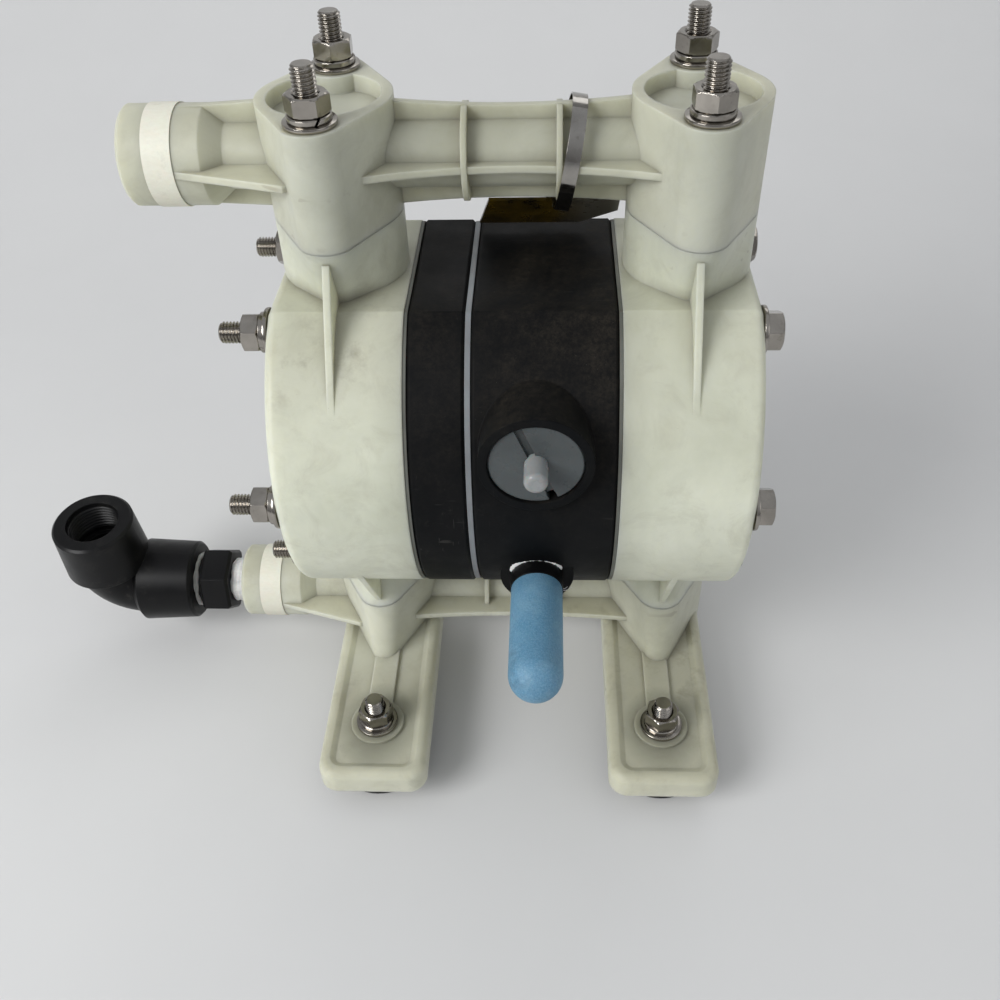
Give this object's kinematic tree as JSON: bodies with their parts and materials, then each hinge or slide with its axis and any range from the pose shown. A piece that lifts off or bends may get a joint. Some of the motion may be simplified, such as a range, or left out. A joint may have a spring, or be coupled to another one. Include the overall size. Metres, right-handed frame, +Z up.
{
  "type": "air operated diaphragm pump",
  "caption": "Air operated double diaphragm pump: flat-sided drum body between two fluid chambers, pipe manifolds above and below, ball valves, air valve, silencer, feet.",
  "frame": {"origin": "centre of the four foot bolt holes, on the surface that the rubber feet stand on", "axes": "+X along the shaft, away from the ports; -X is the side of the outlet and the inlet elbow; -Y is the front with the air valve cap and the silencer; +Z up"},
  "size_m": [0.3158, 0.233, 0.29],
  "materials": {
    "chamber_plastic": "satin, slightly translucent",
    "manifold_plastic": "satin, slightly translucent",
    "black_plastic": "satin, worn",
    "white_seal": "smooth",
    "seat_plastic": "smooth",
    "stainless": "machined",
    "disc_metal": "turned",
    "insert_brass": "machined",
    "bush_plastic": "smooth",
    "seal_rubber": "matt",
    "sleeve_metal": "hard anodised",
    "cap_plastic": "translucent grey",
    "button_plastic": "translucent white",
    "fitting_plastic": "smooth black",
    "silencer_plastic": "porous light blue",
    "tape_white": "thread sealing tape",
    "band_paper": "blank paper tape",
    "strap_steel": "polished band",
    "tag_amber": "dark amber, blank",
    "foot_rubber": "matt"
  },
  "bodies": {
    "pump": {"left_fluid_chamber": "chamber_plastic", "right_fluid_chamber": "chamber_plastic", "discharge_manifold": "manifold_plastic", "suction_manifold": "manifold_plastic", "left_air_body": "black_plastic", "right_air_body": "black_plastic", "left_diaphragm": "white_seal", "right_diaphragm": "white_seal", "body_gasket": "white_seal", "seat_seals": "white_seal", "suction_seats": "seat_plastic", "discharge_seats": "seat_plastic", "tie_bolts": "stainless", "tie_nuts": "stainless", "tie_flat_washers": "stainless", "tie_spring_washers": "stainless", "top_studs": "stainless", "top_nuts": "stainless", "top_flat_washers": "stainless", "top_spring_washers": "stainless", "base_bolts": "stainless", "base_washers": "stainless", "foot_studs": "stainless", "foot_nuts": "stainless", "foot_flat_washers": "stainless", "foot_spring_washers": "stainless", "reset_spring": "stainless", "neck_inserts": "insert_brass", "foot_inserts": "insert_brass", "shaft_bushes": "bush_plastic", "shaft_seals": "seal_rubber", "spool_sleeve": "sleeve_metal", "valve_cap": "cap_plastic", "inlet_elbow": "fitting_plastic", "inlet_nipple": "fitting_plastic", "exhaust_collar": "fitting_plastic", "silencer": "silencer_plastic", "thread_tapes": "tape_white", "label_bands": "band_paper", "tag_strap": "strap_steel", "tag_plate": "tag_amber", "rubber_feet": "foot_rubber"},
    "shaft": {"centre_shaft": "stainless", "inner_discs": "disc_metal", "outer_discs": "disc_metal"},
    "left_suction_ball_body": {"left_suction_ball": "white_seal"},
    "right_suction_ball_body": {"right_suction_ball": "white_seal"},
    "left_discharge_ball_body": {"left_discharge_ball": "white_seal"},
    "right_discharge_ball_body": {"right_discharge_ball": "white_seal"},
    "spool": {"valve_spool": "sleeve_metal"},
    "button": {"reset_button": "button_plastic"}
  },
  "joints": [
    {"name": "shaft_stroke", "type": "slide", "parent": "pump", "child": "shaft", "axis": [1, 0, 0], "range_m": [-0.008, 0.008], "deforming": ["left_diaphragm", "right_diaphragm"]},
    {"name": "left_suction_ball_lift", "type": "slide", "parent": "pump", "child": "left_suction_ball_body", "axis": [0, 0, 1], "range_m": [0, 0.005]},
    {"name": "right_suction_ball_lift", "type": "slide", "parent": "pump", "child": "right_suction_ball_body", "axis": [0, 0, 1], "range_m": [0, 0.005]},
    {"name": "left_discharge_ball_lift", "type": "slide", "parent": "pump", "child": "left_discharge_ball_body", "axis": [0, 0, 1], "range_m": [0, 0.005]},
    {"name": "right_discharge_ball_lift", "type": "slide", "parent": "pump", "child": "right_discharge_ball_body", "axis": [0, 0, 1], "range_m": [0, 0.005]},
    {"name": "spool_shift", "type": "slide", "parent": "pump", "child": "spool", "axis": [0, 1, 0], "range_m": [0, 0.008]},
    {"name": "reset_button_press", "type": "slide", "parent": "pump", "child": "button", "axis": [0, 1, 0], "range_m": [0, 0.004], "stiffness_N_per_m": 400, "springref_m": -0.002, "deforming": ["reset_spring"]}
  ]
}
